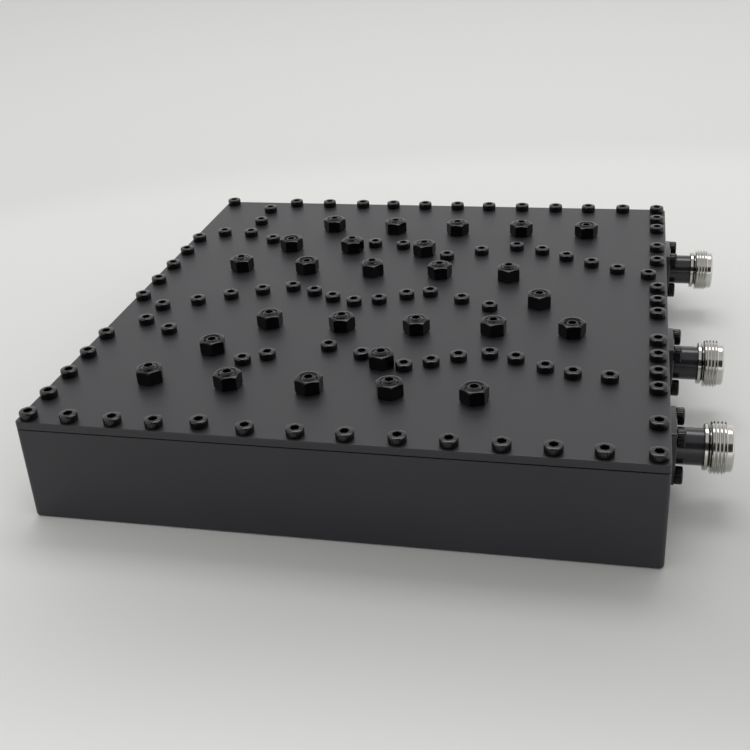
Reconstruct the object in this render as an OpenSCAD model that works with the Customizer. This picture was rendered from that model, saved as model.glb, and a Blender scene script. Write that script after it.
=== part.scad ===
// Cavity-filter RF combiner: a body with honeycomb pockets milled for twelve resonators,
// a screwed cover, and three coaxial panel jacks on its right-hand side. Millimetres.
// The origin is the centre of the underside. +X points to the jacks, the front faces -Y.

/* [Box] */
// Width of the box, left to right
box_w = 190; // [186:1:205]
// Depth of the box, front to back
box_d = 198; // [194:1:215]
// Height of the milled body, without its cover
body_h = 31.5; // [29.5:0.5:44]
// Thickness of the cover plate
cover_t = 2.5; // [2:0.5:4]
// Thickness of the four side walls
wall_t = 5; // [4.5:0.5:7]
// Thickness of the floor
floor_t = 4; // [3:0.5:6]
// Radius of the upright outer corners
corner_r = 1.5; // [1:0.25:3]
// Radius along the bottom edge of the body
foot_r = 1; // [0.5:0.25:1.5]
// Radius along the top edge of the cover
rim_r = 0.4; // [0.2:0.1:0.8]
// Break of the two edges that meet at the seam
seam_break = 0.15; // [0.1:0.05:0.3]
// Height of the open seam under the edge of the cover
seam_gap = 0.2; // [0.1:0.05:0.4]
// Depth of that seam
seam_depth = 0.6; // [0.4:0.1:1]

/* [Cavities] */
// Thickness of the webs between cavities
web_t = 3; // [2:0.5:4]
// Corner radius that the milling cutter leaves
cutter_r = 4; // [2:0.5:5]
// Diameter of the screw bosses in the webs and walls
boss_d = 7; // [6:0.5:8]
// How far the small cross-coupling windows reach below the middle of their screws' lower ends
cross_drop = 1.5; // [1:0.5:8]
// Diameter of the raised pad under each resonator
pad_d = 18; // [17:1:21]
// Height of the raised pads
pad_h = 2.5; // [1:0.5:4]

/* [Cover screws] */
// Thread diameter of the cap screws
screw_d = 3; // [2.5:0.5:3.5]
// Head diameter of the cap screws
screw_head_d = 5.4; // [5:0.1:5.8]
// Head height of the cap screws
screw_head_h = 2.4; // [2:0.1:3]
// Hexagon key size of the cap screws
screw_key = 2.5; // [2:0.1:3]
// Depth of the key socket in the cap screws
screw_socket = 1.4; // [1:0.1:1.8]
// Length of the cover screws under the head
cover_screw_l = 6; // [5:1:8]
// Length of the flange screws under the head
flange_screw_l = 6; // [5:0.5:7]
// Distance of the rim screws from the edge of the cover
rim_inset = 3.4; // [3.3:0.1:4]

/* [Tuning] */
// Thread diameter of the tuning and coupling screws
tuner_d = 5; // [4:0.5:6]
// Length of the tuning and coupling screws
tuner_l = 20; // [14:1:22]
// Chamfer at both ends of the tuning screws
tuner_tip = 0.5; // [0.3:0.1:0.7]
// Middle rise of the tuning screws out of their lock nuts
tuner_rise = 0.4; // [0.2:0.1:1]
// Hexagon key size of the tuning screws
tuner_key = 2.5; // [2:0.1:3]
// Depth of the key socket in the tuning screws
tuner_socket = 3; // [2:0.5:4]
// Width across the flats of the lock nuts
nut_af = 7.8; // [7:0.2:8.4]
// Height of the lock nuts
nut_h = 4.6; // [4:0.1:5]

/* [Resonators] */
// Diameter of a resonator post
post_d = 15; // [13:0.5:16]
// Diameter of the disc on top of a post
disc_d = 24; // [20:1:26]
// Thickness of that disc
disc_t = 2; // [1.5:0.5:3]
// Height of a resonator above its pad
resonator_h = 19; // [16:0.5:20]
// Bore of a resonator
resonator_bore = 8; // [7.5:0.25:9]
// Thickness of the closed base of a resonator
resonator_base = 3.5; // [3:0.5:5]
// Thread diameter of the screws that hold the resonators
fixing_d = 4; // [3.5:0.5:4]
// Head diameter of those screws
fixing_head_d = 7; // [6:0.1:7.2]
// Head height of those screws
fixing_head_h = 4; // [3:0.5:4.5]
// Key size of those screws
fixing_key = 3; // [2.5:0.1:3.5]
// Length of those screws under the head
fixing_l = 8; // [6:0.5:9]

/* [Jacks] */
// Height of the jack axes above the underside
jack_z = 17.75; // [16.5:0.25:18.5]
// Side of the square flange
flange_w = 17.5; // [17:0.25:19]
// Thickness of the flange
flange_t = 2.4; // [2:0.1:3]
// Spacing of the flange screws
flange_pitch = 12.7; // [12.2:0.1:13]
// Outer diameter of the barrel
barrel_d = 11.2; // [10.8:0.1:11.8]
// Distance from the wall to the end of the barrel
barrel_end = 10.3; // [10:0.1:12]
// Diameter of the shoulder behind the thread
shoulder_d = 13.9; // [13.5:0.1:15]
// Length of the shoulder
shoulder_l = 1.3; // [1:0.1:2]
// Diameter of the runout groove behind the thread
groove_d = 12.8; // [12:0.1:13.4]
// Length of the runout groove
groove_l = 0.4; // [0.3:0.1:1]
// Outer diameter of the thread
thread_d = 15.88; // [15:0.02:16]
// Length of the thread
thread_l = 4.7; // [4:0.1:7]
// Diameter of the plain nose
nose_d = 14; // [13.4:0.1:14.4]
// Length of the plain nose
nose_l = 2; // [1.5:0.1:3]
// Bore of the mouth of a jack
mouth_d = 8.1; // [7.9:0.05:8.4]
// Depth of the mouth
mouth_depth = 9; // [8:0.25:10]
// Diameter of the insulator in the wall
insulator_d = 9; // [8:0.25:9.5]
// Diameter of the insulator where it shows in the mouth
insulator_nose_d = 7; // [6:0.25:7.5]
// Diameter of the front end of the centre contact
contact_d = 3.04; // [2.9:0.02:3.2]
// Diameter of the contact inside the insulator
contact_neck_d = 2.6; // [2.2:0.1:2.8]
// Bore of the centre contact
contact_bore = 1.65; // [1.5:0.05:1.8]
// Distance from the mouth's face back to the contact's tip
contact_setback = 4.6; // [4.2:0.1:5]
// Width of the slots in the contact
contact_slot = 0.3; // [0.2:0.05:0.4]

/* [Leads] */
// Thickness of the copper leads
lead_t = 0.8; // [0.6:0.1:1]
// Height of the copper leads
lead_h = 3; // [2:0.25:4]

/* [Mounting] */
// Distance of the tapped holes in the underside from the sides
mount_inset = 12; // [10:0.5:14]
// Thread diameter of those holes
mount_d = 4; // [3:0.5:5]
// Depth of those holes
mount_depth = 7; // [5:0.5:9]
// Diameter of the bosses over those holes
mount_boss_d = 10; // [9:0.5:12]

/* [Fits] */
// Radial gap between a thread or pin and its hole
fit_gap = 0.03; // [0.02:0.01:0.05]
// Radial gap of the clearance holes for screws
clear_gap = 0.2; // [0.15:0.05:0.3]

/* [Hidden] */
arc_steps = 6;
edge_steps = 3;
over = 1;
cover_top = body_h + cover_t;
half_w = box_w / 2;
half_d = box_d / 2;

// The charts below are drawn for a box of this width and depth, and stretch with the box
chart_w = 190;
chart_d = 198;
stretch_x = box_w / chart_w;
stretch_y = box_d / chart_d;

// Rim screws: places along each side, measured from the centre
front_row = [-78.5, -64.5, -51.5, -23.5, -8.5, 6, 21, 35.5, 50, 64, 77.5];
back_row = [-62.5, -47.5, -32.5, -19, -5, 9, 22.5, 36.5, 50.5, 64, 78];
left_row = [-82.5, -68.5, -54.5, -40, -8, 7, 22, 37, 51];
right_row = [-79, -59, -49, -38, -27, -6.5, 3.5, 14.5, 39.5, 53, 73, 83.5];
// Screws in the webs, front to back
web_screws = [
    [-38, -94],
    [-82, -28], [-71, -34.5], [-38, -54], [-31, -49.5], [-12.5, -41.5], [-0.5, -46],
    [14.5, -52.5], [22.5, -49], [30.5, -44.5], [40, -41.5], [48.5, -44], [58, -49], [66.5, -52],
    [77.5, -53.5],
    [-81, -15.5], [-69.5, -10], [-59, -4], [-48.5, 1], [-38, 5], [-29, 1.5],
    [-21, -3], [-12.5, -6], [-4, -3.5], [5, 1.5], [13, 4.5], [25, -0.5], [35.5, -6],
    [-83, 58], [-71.5, 58], [-60, 51.5], [-17, 50], [-5.5, 49], [13.5, 39], [26, 45],
    [39, 50.5], [49, 47], [58.5, 41.5], [68, 36], [77.5, 30.5], [88.5, 26.5],
    [-72, 87], [-71.5, 72]
];
rim_x = half_w - rim_inset;
rim_y = half_d - rim_inset;
cover_screw_places = concat(
    [for (x = [-rim_x, rim_x], y = [-rim_y, rim_y]) [x, y]],
    [for (x = front_row) [x * stretch_x, -rim_y]],
    [for (x = back_row) [x * stretch_x, rim_y]],
    [for (y = left_row) [-rim_x, y * stretch_y]],
    [for (y = right_row) [rim_x, y * stretch_y]],
    spots(web_screws)
);

// Resonators, in the order that a signal passes them from each outer jack to the common one
front_chain = spots(
    [[39, -70], [-11.5, -69.5], [-63.5, -69], [-37.5, -25.5], [13.5, -25.5], [64.5, -23]]
);
rear_chain = spots([[64.5, 67], [13.5, 66.5], [-38, 67.5], [-63.5, 22.5], [-12, 22], [39, 21.5]]);
resonator_places = concat(front_chain, rear_chain);
// Windows in the webs: place of the coupling screw, direction of the web in degrees,
// and the reach of the window on either side of the screw
main_windows = [
    [spot([13.5, -69.5]), 90, 13, 13], [spot([-37.5, -69.5]), 90, 13, 13],
    [spot([-50.5, -47]), -30, 17, 9.5], [spot([-12, -25.5]), 90, 9.5, 9.5],
    [spot([39, -24]), 90, 9.5, 9.5], [spot([13.5, 22]), 90, 9.5, 9.5],
    [spot([-37.5, 22.5]), 90, 9.5, 9.5], [spot([-50, 44.5]), -30, 7, 8.5],
    [spot([-12, 66.5]), 90, 10.5, 17], [spot([39, 67]), 90, 10.5, 17]
];
cross_windows = [
    [spot([7, -51]), -24, 4, 3.5], [spot([-25, 44.5]), 27, 8.5, 5.5], [spot([4, 43]), -26, 6.5, 5.5]
];
// The two inner ends of the chains share one open cavity, trimmed by a screw between them
common_trimmer = spot([52, -1]);
coupling_places = concat([for (w = concat(main_windows, cross_windows)) w[0]], [common_trimmer]);
window_span = web_t + 2;
// Each lock nut's turn in degrees, and how much more than the middle its screw stands out of
// it: first over the resonators, then over the windows
nut_places = concat(resonator_places, coupling_places);
nut_turns = [
    20, 30, 50, 30, 10, 10, 10, 0, 10, 20, 50, 35,
    50, 25, 45, 5, 25, 15, 30, 15, 55, 5, 45, 20, 25, 35
];
extra_rises = [
    -0.2, -0.2, 0.5, 0, 0.2, -0.6, -0.3, 0.1, 0, 0.3, 0.5, 0.6,
    0.3, 0.2, -0.4, 0.3, 0, 0.2, -0.6, -0.5, 0.1, 0.3, 0.3, 0.4, 0.1, -0.2
];

// Corners of the zigzag webs, left to right
front_web = spots([[-38, -54], [-12, -41.5], [14.5, -52.5], [40, -41], [65, -53]]);
middle_web = spots([[-38, 6], [-12, -7.5], [13.5, 5.5], [37.5, -8]]);
back_web = spots([[-71.5, 58.5], [-38, 38.5], [-11.5, 52], [13.5, 39.5], [39, 51.5]]);
// Where the webs meet the side walls
front_web_left = -23.5 * stretch_y;
front_web_right = -54 * stretch_y;
middle_web_left = -21 * stretch_y;
back_web_left = 58.5 * stretch_y;
back_web_right = 25 * stretch_y;
// Closed end of the left middle cavity, between the two webs that run together there
tip_low = spot([-76, -32.5]);
tip_high = spot([-76, -13]);
// Upright webs that stop at the front and back walls
front_split = [-37 * stretch_x, 14 * stretch_x];
back_split = [-71.5 * stretch_x, -12 * stretch_x, 39 * stretch_x];

// Centre lines of the outer walls' inner faces, half a web outside them
cell_x = half_w - wall_t + web_t / 2;
cell_y = half_d - wall_t + web_t / 2;
cells = [
    [[front_split[1], -cell_y], [cell_x, -cell_y], [cell_x, front_web_right],
     front_web[4], front_web[3], front_web[2]],
    [[front_split[0], -cell_y], [front_split[1], -cell_y], front_web[2], front_web[1], front_web[0]],
    [[-cell_x, -cell_y], [front_split[0], -cell_y], front_web[0], [-cell_x, front_web_left]],
    [tip_low, front_web[0], front_web[1], middle_web[1], middle_web[0], tip_high],
    [front_web[1], front_web[2], front_web[3], middle_web[3], middle_web[2], middle_web[1]],
    [front_web[3], front_web[4], [cell_x, front_web_right], [cell_x, back_web_right],
     back_web[4], back_web[3], middle_web[2], middle_web[3]],
    [middle_web[0], middle_web[1], middle_web[2], back_web[3], back_web[2], back_web[1]],
    [[-cell_x, middle_web_left], middle_web[0], back_web[1], back_web[0], [-cell_x, back_web_left]],
    [back_web[0], back_web[1], back_web[2], [back_split[1], cell_y], [back_split[0], cell_y]],
    [back_web[2], back_web[3], back_web[4], [back_split[2], cell_y], [back_split[1], cell_y]],
    [back_web[4], [cell_x, back_web_right], [cell_x, cell_y], [back_split[2], cell_y]]
];

// Jacks
rear_y = 74.5 * stretch_y;
common_y = -7.5 * stretch_y;
front_y = -61.5 * stretch_y;
jack_places = [rear_y, common_y, front_y];
shoulder_end = barrel_end + shoulder_l;
groove_end = shoulder_end + groove_l;
thread_end = groove_end + thread_l;
jack_l = thread_end + nose_l;
jack_chamfer = 0.4;
nose_round = 0.8;
mouth_floor = jack_l - mouth_depth;
insulator_wide_l = 5.6;
insulator_step = flange_t + insulator_wide_l;
insulator_setback = 0.2;
wall_bore_spare = 3;
wall_bore_l = wall_t + wall_bore_spare;
insulator_out = 2;
insulator_tail = wall_t + insulator_out;
contact_tip = jack_l - contact_setback;
contact_out = 4;
contact_tail = insulator_tail + contact_out;
contact_bore_l = 4.5;
contact_slot_l = 3.8;
flange_corner_r = 0.8;
flange_tap_l = 4.5;

// Leads: each runs level from its contact, bends, and ends in a slot in a resonator post
lead_setback = 1.2;
lead_straight = 2;
lead_start = half_w - insulator_tail - lead_setback;
lead_bend = half_w - contact_tail - lead_straight;
lead_bite = 2;
lead_low = jack_z - lead_h / 2;
front_tap = [lead_bend, front_y];
common_tap = [lead_bend, common_y];
rear_tap = [lead_bend, rear_y];

resonator_z = floor_t + pad_h;
tap_spare = 1.5;
fixing_spare = 0.5;
cover_tap_l = cover_screw_l - cover_t + tap_spare;
fixing_low = resonator_z + resonator_base - fixing_l - fixing_spare;
tuner_low = cover_top + nut_h + tuner_rise - tuner_l;
cross_sill = tuner_low - cross_drop;
screw_tip = 0.4;
head_break = 0.2;
nut_break = 0.1;
nut_mouth = 0.3;
mount_boss_roof = 2;

// A place in the charts, and a list of them, on the box as it is
function spot(p) = [p[0] * stretch_x, p[1] * stretch_y];
function spots(places) = [for (p = places) spot(p)];

// Unit vector, the normal to its left, and a vector turned by an angle
function unit(v) = v / norm(v);
function left_of(v) = [-v[1], v[0]];
function turned(v, a) = [v[0] * cos(a) - v[1] * sin(a), v[0] * sin(a) + v[1] * cos(a)];

// A closed outline, counter-clockwise, drawn in by a distance with its corners kept sharp
function inset(path, d) = [
    for (i = [0:len(path) - 1])
        let (
            before = path[(i + len(path) - 1) % len(path)],
            after = path[(i + 1) % len(path)],
            n = left_of(unit(path[i] - before)),
            m = left_of(unit(after - path[i]))
        )
        path[i] + d * (n + m) / (1 + n * m)
];

// The same outline with each corner turned into an arc
function rounded(path, r) = [
    for (i = [0:len(path) - 1])
        let (
            u = unit(path[i] - path[(i + len(path) - 1) % len(path)]),
            v = unit(path[(i + 1) % len(path)] - path[i]),
            bend = atan2(cross(u, v), u * v),
            start = path[i] - u * r * tan(abs(bend) / 2),
            centre = start + sign(bend) * r * left_of(u)
        )
        for (k = [0:arc_steps]) centre + turned(start - centre, bend * k / arc_steps)
];

// A strip of even thickness along an open path, with mitred bends
function band(path, t) =
    let (
        last = len(path) - 1,
        shift = [
            for (i = [0:last])
                let (
                    n = left_of(unit(path[max(i, 1)] - path[max(i, 1) - 1])),
                    m = left_of(unit(path[min(i, last - 1) + 1] - path[min(i, last - 1)]))
                )
                t / 2 * (n + m) / (1 + n * m)
        ]
    )
    concat([for (i = [0:last]) path[i] - shift[i]], [for (i = [last:-1:0]) path[i] + shift[i]]);

// The point on a lead, a bite inside the post at p, on the line from its bend
function lead_end(bend, p) = p + unit(bend - p) * (post_d / 2 - lead_bite);

function mount_places() = [
    for (x = [-1, 1], y = [-1, 1]) [x * (half_w - mount_inset), y * (half_d - mount_inset)]
];

function rectangle(w, d) = [[-w / 2, -d / 2], [w / 2, -d / 2], [w / 2, d / 2], [-w / 2, d / 2]];

// Half the cross-section of a plate, out to x, with its low and high edges rounded
function plate_profile(x, h, low_r, high_r) = concat(
    [[0, 0]],
    [for (a = [0:90 / edge_steps:90]) [x - low_r + low_r * sin(a), low_r - low_r * cos(a)]],
    [for (a = [0:90 / edge_steps:90]) [x - high_r + high_r * cos(a), h - high_r + high_r * sin(a)]],
    [[0, h]]
);

// A bar along Y of that cross-section, mirrored about its middle
module plate_bar(w, l, h, low_r, high_r) {
    profile = plate_profile(w / 2, h, low_r, high_r);
    rotate([90, 0, 0])
        linear_extrude(l, center = true)
            polygon(concat(profile, [for (i = [len(profile) - 2:-1:1]) [-profile[i][0], profile[i][1]]]));
}

// A plate with round upright corners, and with its low and high edges rounded as well
module rounded_plate(w, d, h, corner, low_r, high_r) {
    plate_bar(w, d - 2 * corner, h, low_r, high_r);
    rotate(90) plate_bar(d, w - 2 * corner, h, low_r, high_r);
    for (x = [-1, 1], y = [-1, 1])
        translate([x * (w / 2 - corner), y * (d / 2 - corner), 0])
            rotate_extrude($fn = 48) polygon(plate_profile(corner, h, low_r, high_r));
}

// A socket cap screw with its head's seat at z = 0 and its shank below
module cap_screw(d, head_d, head_h, key, socket, l) {
    edge_r = head_h * head_break;
    mid = edge_r * (1 - cos(45));
    difference() {
        rotate_extrude($fn = 48)
            polygon([
                [0, -l], [d / 2 - screw_tip, -l], [d / 2, -l + screw_tip], [d / 2, 0],
                [head_d / 2, 0], [head_d / 2, head_h - edge_r], [head_d / 2 - mid, head_h - mid],
                [head_d / 2 - edge_r, head_h], [0, head_h]
            ]);
        translate([0, 0, head_h - socket])
            cylinder(h = socket + over, d = key / cos(30), $fn = 6);
    }
}

module at_each(places) {
    for (p = places) translate(p) children();
}

module housing_windows() {
    for (w = main_windows)
        translate(w[0])
            rotate(w[1])
                translate([-w[2], -window_span / 2])
                    square([w[2] + w[3], window_span]);
}

module cavity_plan() {
    difference() {
        union() {
            for (c = cells) polygon(rounded(inset(c, web_t / 2), cutter_r));
            housing_windows();
        }
        at_each(cover_screw_places) circle(d = boss_d, $fn = 48);
    }
}

module cavities() {
    difference() {
        translate([0, 0, floor_t]) linear_extrude(body_h) cavity_plan();
        translate([0, 0, floor_t - over])
            at_each(resonator_places)
                cylinder(h = pad_h + over, d = pad_d, $fn = 64);
        at_each(mount_places())
            cylinder(h = mount_depth + mount_boss_roof, d = mount_boss_d, $fn = 48);
    }
}

module cross_cuts() {
    translate([0, 0, cross_sill])
        for (w = cross_windows)
            translate(w[0])
                rotate(w[1])
                    translate([-w[2], -window_span])
                        cube([w[2] + w[3], 2 * window_span, body_h - cross_sill + over]);
}

module at_jack(y) {
    translate([half_w, y, jack_z]) rotate([0, 90, 0]) children();
}

module at_flange_screws() {
    for (a = [-1, 1], b = [-1, 1])
        translate([a * flange_pitch / 2, b * flange_pitch / 2, 0]) children();
}

module housing() {
    color("#3a3a3c")
        difference() {
            union() {
                rounded_plate(box_w, box_d, body_h - seam_gap, corner_r, foot_r, seam_break);
                translate([0, 0, foot_r])
                    linear_extrude(body_h - foot_r)
                        polygon(rounded(inset(rectangle(box_w, box_d), seam_depth), corner_r));
            }
            cavities();
            cross_cuts();
            translate([0, 0, body_h - cover_tap_l])
                at_each(cover_screw_places)
                    cylinder(h = cover_tap_l + over, d = screw_d + 2 * fit_gap, $fn = 32);
            translate([0, 0, fixing_low])
                at_each(resonator_places)
                    cylinder(h = fixing_l, d = fixing_d + 2 * fit_gap, $fn = 32);
            translate([0, 0, -over])
                at_each(mount_places())
                    cylinder(h = mount_depth + over, d = mount_d, $fn = 32);
            for (y = jack_places)
                at_jack(y) {
                    translate([0, 0, -wall_bore_l])
                        cylinder(h = wall_bore_l + over, d = insulator_d + 2 * fit_gap, $fn = 64);
                    at_flange_screws()
                        translate([0, 0, -flange_tap_l])
                            cylinder(h = flange_tap_l + over, d = screw_d + 2 * fit_gap, $fn = 32);
                }
        }
}

module cover_plate() {
    color("#4a4a4c")
        difference() {
            translate([0, 0, body_h])
                rounded_plate(box_w, box_d, cover_t, corner_r, seam_break, rim_r);
            translate([0, 0, body_h - over]) {
                at_each(cover_screw_places)
                    cylinder(h = cover_t + 2 * over, d = screw_d + 2 * clear_gap, $fn = 32);
                at_each(nut_places)
                    cylinder(h = cover_t + 2 * over, d = tuner_d + 2 * fit_gap, $fn = 32);
            }
        }
}

module cover_screws() {
    color("#2a2a2c")
        translate([0, 0, cover_top])
            at_each(cover_screw_places)
                cap_screw(screw_d, screw_head_d, screw_head_h, screw_key, screw_socket, cover_screw_l);
}

// A hexagon nut, its corners turned down at both faces
module lock_nut() {
    corner_d = nut_af / cos(30);
    drop = (corner_d - nut_af) / 2 * tan(30) + 2 * nut_break;
    mouth_r = tuner_d / 2 + nut_mouth;
    difference() {
        intersection() {
            cylinder(h = nut_h, d = corner_d, $fn = 6);
            rotate_extrude($fn = 64)
                polygon([
                    [0, 0], [nut_af / 2 - nut_break, 0], [corner_d / 2 + nut_break, drop],
                    [corner_d / 2 + nut_break, nut_h - drop], [nut_af / 2 - nut_break, nut_h], [0, nut_h]
                ]);
        }
        rotate_extrude($fn = 48)
            polygon([
                [0, -over], [tuner_d / 2 + fit_gap, -over],
                [tuner_d / 2 + fit_gap, nut_h - nut_mouth + fit_gap], [mouth_r, nut_h],
                [mouth_r, nut_h + over], [0, nut_h + over]
            ]);
    }
}

module lock_nuts() {
    color("#242426")
        translate([0, 0, cover_top])
            for (i = [0:len(nut_places) - 1])
                translate(nut_places[i])
                    rotate(nut_turns[i])
                        lock_nut();
}

// A fully threaded screw with a key socket in its top, standing on its lower end
module tuner() {
    difference() {
        rotate_extrude($fn = 48)
            polygon([
                [0, 0], [tuner_d / 2 - tuner_tip, 0], [tuner_d / 2, tuner_tip],
                [tuner_d / 2, tuner_l - tuner_tip], [tuner_d / 2 - tuner_tip, tuner_l], [0, tuner_l]
            ]);
        translate([0, 0, tuner_l - tuner_socket])
            cylinder(h = tuner_socket + over, d = tuner_key / cos(30), $fn = 6);
    }
}

// The tuning screws in the lock nuts from a first to a last one of the list
module tuners(first, last) {
    for (i = [first:last])
        translate([nut_places[i][0], nut_places[i][1], tuner_low + extra_rises[i]]) tuner();
}

module tuning_screws() {
    color("#2e2e30") tuners(0, len(resonator_places) - 1);
}

module coupling_screws() {
    color("#2e2e30") tuners(len(resonator_places), len(nut_places) - 1);
}

// A bored post with a disc on top; taps are the places from which a lead comes in
module resonator(place, taps = []) {
    color("#d8d8dc")
        translate([place[0], place[1], resonator_z])
            difference() {
                rotate_extrude($fn = 96)
                    polygon([
                        [fixing_d / 2 + clear_gap, 0], [post_d / 2, 0],
                        [post_d / 2, resonator_h - 2 * disc_t], [disc_d / 2, resonator_h - disc_t],
                        [disc_d / 2, resonator_h], [resonator_bore / 2, resonator_h],
                        [resonator_bore / 2, resonator_base], [fixing_d / 2 + clear_gap, resonator_base]
                    ]);
                for (t = taps)
                    rotate(atan2(t[1] - place[1], t[0] - place[0]))
                        translate([
                            post_d / 2 - lead_bite - fit_gap, -lead_t / 2 - fit_gap,
                            lead_low - resonator_z - fit_gap
                        ])
                            cube([lead_bite + over, lead_t + 2 * fit_gap, lead_h + 2 * fit_gap]);
            }
}

module resonator_screws() {
    color("#b9b9bd")
        translate([0, 0, resonator_z + resonator_base])
            at_each(resonator_places)
                cap_screw(fixing_d, fixing_head_d, fixing_head_h, fixing_key, fixing_head_h / 2, fixing_l);
}

module jack_body(y) {
    color("#9a9a96")
        at_jack(y)
            difference() {
                union() {
                    linear_extrude(flange_t)
                        polygon(rounded(rectangle(flange_w, flange_w), flange_corner_r));
                    rotate_extrude($fn = 96)
                        polygon([
                            [0, 0], [barrel_d / 2, 0], [barrel_d / 2, barrel_end],
                            [shoulder_d / 2 - jack_chamfer / 2, barrel_end],
                            [shoulder_d / 2, barrel_end + jack_chamfer / 2],
                            [shoulder_d / 2, shoulder_end], [groove_d / 2, shoulder_end],
                            [groove_d / 2, groove_end], [thread_d / 2 - jack_chamfer, groove_end],
                            [thread_d / 2, groove_end + jack_chamfer],
                            [thread_d / 2, thread_end - jack_chamfer],
                            [thread_d / 2 - jack_chamfer, thread_end], [nose_d / 2, thread_end],
                            [nose_d / 2, jack_l - nose_round],
                            [nose_d / 2 - nose_round / 3, jack_l - nose_round / 3],
                            [nose_d / 2 - nose_round, jack_l],
                            [0, jack_l]
                        ]);
                }
                translate([0, 0, -over])
                    at_flange_screws()
                        cylinder(h = flange_t + 2 * over, d = screw_d + 2 * clear_gap, $fn = 32);
                rotate_extrude($fn = 96)
                    polygon([
                        [0, -over], [insulator_d / 2 + fit_gap, -over],
                        [insulator_d / 2 + fit_gap, insulator_step],
                        [insulator_nose_d / 2 + fit_gap, insulator_step],
                        [insulator_nose_d / 2 + fit_gap, mouth_floor],
                        [mouth_d / 2, mouth_floor], [mouth_d / 2, jack_l - jack_chamfer],
                        [mouth_d / 2 + jack_chamfer, jack_l], [mouth_d / 2 + jack_chamfer, jack_l + over],
                        [0, jack_l + over]
                    ]);
            }
}

module jack_insulator(y) {
    inner = contact_neck_d / 2 + fit_gap;
    color("#f2f1ec")
        at_jack(y)
            rotate_extrude($fn = 96)
                polygon([
                    [inner, -insulator_tail], [insulator_d / 2, -insulator_tail],
                    [insulator_d / 2, insulator_step - fit_gap],
                    [insulator_nose_d / 2, insulator_step - fit_gap],
                    [insulator_nose_d / 2, mouth_floor - insulator_setback],
                    [inner, mouth_floor - insulator_setback]
                ]);
}

module jack_contact(y) {
    seat = mouth_floor - insulator_setback;
    color("#caa24a")
        at_jack(y)
            difference() {
                rotate_extrude($fn = 64)
                    polygon([
                        [0, -contact_tail], [contact_neck_d / 2, -contact_tail],
                        [contact_neck_d / 2, seat], [contact_d / 2, seat],
                        [contact_d / 2, contact_tip - screw_tip / 2],
                        [contact_d / 2 - screw_tip / 2, contact_tip],
                        [contact_bore / 2, contact_tip], [contact_bore / 2, contact_tip - contact_bore_l],
                        [0, contact_tip - contact_bore_l]
                    ]);
                for (a = [0, 90])
                    rotate(a)
                        translate([-contact_d, -contact_slot / 2, contact_tip - contact_slot_l])
                            cube([2 * contact_d, contact_slot, contact_slot_l + over]);
                translate([-contact_d, -lead_t / 2 - fit_gap, -contact_tail - over])
                    cube([2 * contact_d, lead_t + 2 * fit_gap, contact_tail - insulator_tail]);
            }
}

module flange_screws() {
    color("#2a2a2c")
        for (y = jack_places)
            at_jack(y)
                at_flange_screws()
                    translate([0, 0, flange_t])
                        cap_screw(
                            screw_d, screw_head_d, screw_head_h, screw_key, screw_socket, flange_screw_l
                        );
}

// A strip on edge from a jack's contact by a bend to each post that it feeds
module lead(bend, posts) {
    color("#d9a066")
        translate([0, 0, lead_low])
            linear_extrude(lead_h)
                for (p = posts)
                    polygon(band([[lead_start, bend[1]], bend, lead_end(bend, p)], lead_t));
}

housing();
cover_plate();
cover_screws();
lock_nuts();
tuning_screws();
coupling_screws();
resonator(front_chain[0], [front_tap]);  // front_resonator_1
resonator(front_chain[1]);  // front_resonator_2
resonator(front_chain[2]);  // front_resonator_3
resonator(front_chain[3]);  // front_resonator_4
resonator(front_chain[4]);  // front_resonator_5
resonator(front_chain[5], [common_tap]);  // front_resonator_6
resonator(rear_chain[0], [rear_tap]);  // rear_resonator_1
resonator(rear_chain[1]);  // rear_resonator_2
resonator(rear_chain[2]);  // rear_resonator_3
resonator(rear_chain[3]);  // rear_resonator_4
resonator(rear_chain[4]);  // rear_resonator_5
resonator(rear_chain[5], [common_tap]);  // rear_resonator_6
resonator_screws();
jack_body(rear_y);  // rear_jack_body
jack_insulator(rear_y);  // rear_jack_insulator
jack_contact(rear_y);  // rear_jack_contact
jack_body(common_y);  // common_jack_body
jack_insulator(common_y);  // common_jack_insulator
jack_contact(common_y);  // common_jack_contact
jack_body(front_y);  // front_jack_body
jack_insulator(front_y);  // front_jack_insulator
jack_contact(front_y);  // front_jack_contact
flange_screws();
lead(rear_tap, [rear_chain[0]]);  // rear_lead
lead(common_tap, [front_chain[5], rear_chain[5]]);  // common_lead
lead(front_tap, [front_chain[0]]);  // front_lead
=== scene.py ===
"""Dresses the RF combiner: a satin black filter box with locked tuning screws and nickel plated jacks."""
import logging
import math
from dataclasses import dataclass, field
from enum import Enum
from typing import Any, Mapping, Sequence

import bmesh
import bpy
from bmesh.types import BMVert
from bpy.types import Material, Mesh, Node, NodeSocket, NodeTree, Object
from mathutils import Matrix, Vector
from mathutils.geometry import delaunay_2d_cdt


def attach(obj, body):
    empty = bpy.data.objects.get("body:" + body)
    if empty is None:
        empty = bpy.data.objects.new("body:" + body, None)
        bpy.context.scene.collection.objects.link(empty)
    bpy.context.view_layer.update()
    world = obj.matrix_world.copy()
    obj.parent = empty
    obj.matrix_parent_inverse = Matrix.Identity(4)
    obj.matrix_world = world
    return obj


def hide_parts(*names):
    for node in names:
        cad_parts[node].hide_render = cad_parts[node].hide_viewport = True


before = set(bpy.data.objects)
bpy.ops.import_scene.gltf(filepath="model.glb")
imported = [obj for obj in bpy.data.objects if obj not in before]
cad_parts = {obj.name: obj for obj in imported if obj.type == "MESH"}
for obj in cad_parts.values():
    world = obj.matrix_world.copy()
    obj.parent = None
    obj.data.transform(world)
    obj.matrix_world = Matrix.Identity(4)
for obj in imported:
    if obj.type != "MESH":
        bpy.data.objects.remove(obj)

LOG = logging.getLogger("rf_combiner")
MM = 0.001
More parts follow.
